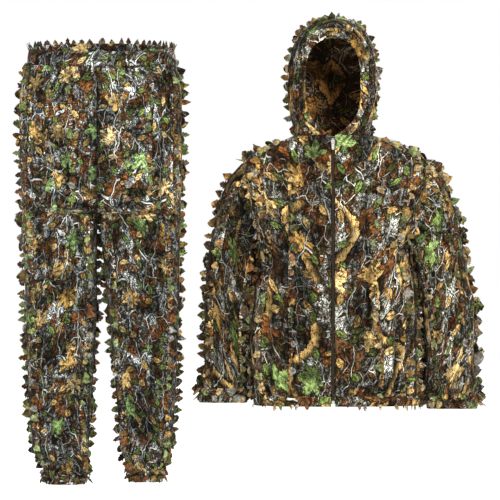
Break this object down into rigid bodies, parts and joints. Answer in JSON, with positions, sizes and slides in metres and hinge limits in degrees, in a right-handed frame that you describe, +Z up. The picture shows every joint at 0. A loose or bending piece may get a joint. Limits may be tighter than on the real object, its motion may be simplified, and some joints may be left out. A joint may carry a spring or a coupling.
{
  "type": "ghillie suit",
  "caption": "Leaf-covered camouflage suit: hooded jacket with a front zip, and pull-on trousers with gathered ankles, shown apart in worn shape.",
  "frame": {"origin": "centre of the jacket's neck seam, where the wearer's or a display form's neck holds the jacket", "axes": "+Z up; the wearer faces -Y, so the wearer's right is -X; the trousers hang on the -X side"},
  "size_m": [1.1744, 0.2664, 1.1783],
  "materials": {
    "jacket_cloth": "printed matt woodland cloth, ochre, rust, green and near-black",
    "jacket_band": "the same cloth, folded",
    "trouser_cloth": "printed matt woodland cloth, grey bark, ochre and light green",
    "trouser_band": "the same cloth, folded",
    "lining": "plain dark brown woven cloth",
    "elastic": "knitted elastic band",
    "zip_tape": "woven brown tape",
    "zip_coil": "brown moulded coil",
    "zip_metal": "dull cast metal",
    "leaves_brown": "cut leaf-edged ochre cloth",
    "leaves_green": "cut leaf-edged green cloth"
  },
  "bodies": {
    "jacket": {"jacket_front_right": "jacket_cloth", "jacket_front_left": "jacket_cloth", "jacket_back": "jacket_cloth", "jacket_hem_band": "jacket_band", "neck_tape": "lining", "hang_loop": "lining", "leaf_strip_front_right": "leaves_brown", "leaf_strip_front_left": "leaves_brown", "leaf_strip_back": "leaves_brown", "zip_tape_right": "zip_tape", "zip_tape_left": "zip_tape", "zip_coil_right": "zip_coil", "zip_coil_left": "zip_coil", "zip_top_stop_right": "zip_metal", "zip_top_stop_left": "zip_metal", "zip_bottom_box": "zip_metal"},
    "hood": {"hood_panel_right": "jacket_cloth", "hood_panel_left": "jacket_cloth", "face_binding": "jacket_band", "leaf_strip_hood": "leaves_green"},
    "zip_slider": {"zip_slider": "zip_metal"},
    "zip_pull": {"zip_pull": "zip_metal"},
    "right_sleeve": {"sleeve_right": "jacket_cloth", "cuff_casing_right": "jacket_band", "cuff_elastic_right": "elastic", "leaf_strip_sleeve_right": "leaves_brown"},
    "left_sleeve": {"sleeve_left": "jacket_cloth", "cuff_casing_left": "jacket_band", "cuff_elastic_left": "elastic", "leaf_strip_sleeve_left": "leaves_brown"},
    "trousers": {"waist_casing": "trouser_band", "waist_elastic": "elastic", "pocket_welt": "trouser_band", "pocket_bag": "lining", "hip_front_right": "trouser_cloth", "hip_back_right": "trouser_cloth", "leaf_strip_hip_right": "leaves_green", "hip_front_left": "trouser_cloth", "hip_back_left": "trouser_cloth", "leaf_strip_hip_left": "leaves_green"},
    "right_leg": {"leg_front_right": "trouser_cloth", "leg_back_right": "trouser_cloth", "ankle_casing_right": "trouser_band", "ankle_elastic_right": "elastic", "leaf_strip_leg_side_right": "leaves_green", "leaf_strip_leg_front_right": "leaves_brown"},
    "left_leg": {"leg_front_left": "trouser_cloth", "leg_back_left": "trouser_cloth", "ankle_casing_left": "trouser_band", "ankle_elastic_left": "elastic", "leaf_strip_leg_side_left": "leaves_green", "leaf_strip_leg_front_left": "leaves_brown"}
  },
  "joints": [
    {"name": "hood_tilt", "type": "hinge", "parent": "jacket", "child": "hood", "pos_m": [0, 0.078, 0], "axis": [-1, 0, 0], "range_deg": [0, 50]},
    {"name": "right_sleeve_raise", "type": "hinge", "parent": "jacket", "child": "right_sleeve", "pos_m": [-0.2, 0, -0.165], "axis": [-0.9912, 0, -0.1322], "range_deg": [0, 60]},
    {"name": "left_sleeve_raise", "type": "hinge", "parent": "jacket", "child": "left_sleeve", "pos_m": [0.213, 0, -0.171], "axis": [-0.9768, 0, 0.214], "range_deg": [0, 60]},
    {"name": "zip_slide", "type": "slide", "parent": "jacket", "child": "zip_slider", "axis": [0, -0.0208, -0.9998], "range_m": [0, 0.632]},
    {"name": "pull_swing", "type": "hinge", "parent": "zip_slider", "child": "zip_pull", "pos_m": [0, -0.11054, -0.01645], "axis": [-1, 0, 0], "range_deg": [0, 150]},
    {"name": "trousers_apart", "type": "slide", "parent": "jacket", "child": "trousers", "axis": [-1, 0, 0], "range_m": [0, 0.3]},
    {"name": "right_leg_lift", "type": "hinge", "parent": "trousers", "child": "right_leg", "pos_m": [-0.585, -0.097, -0.196], "axis": [-1, 0, 0], "range_deg": [0, 35]},
    {"name": "left_leg_lift", "type": "hinge", "parent": "trousers", "child": "left_leg", "pos_m": [-0.585, -0.097, -0.196], "axis": [-1, 0, 0], "range_deg": [0, 35]}
  ]
}
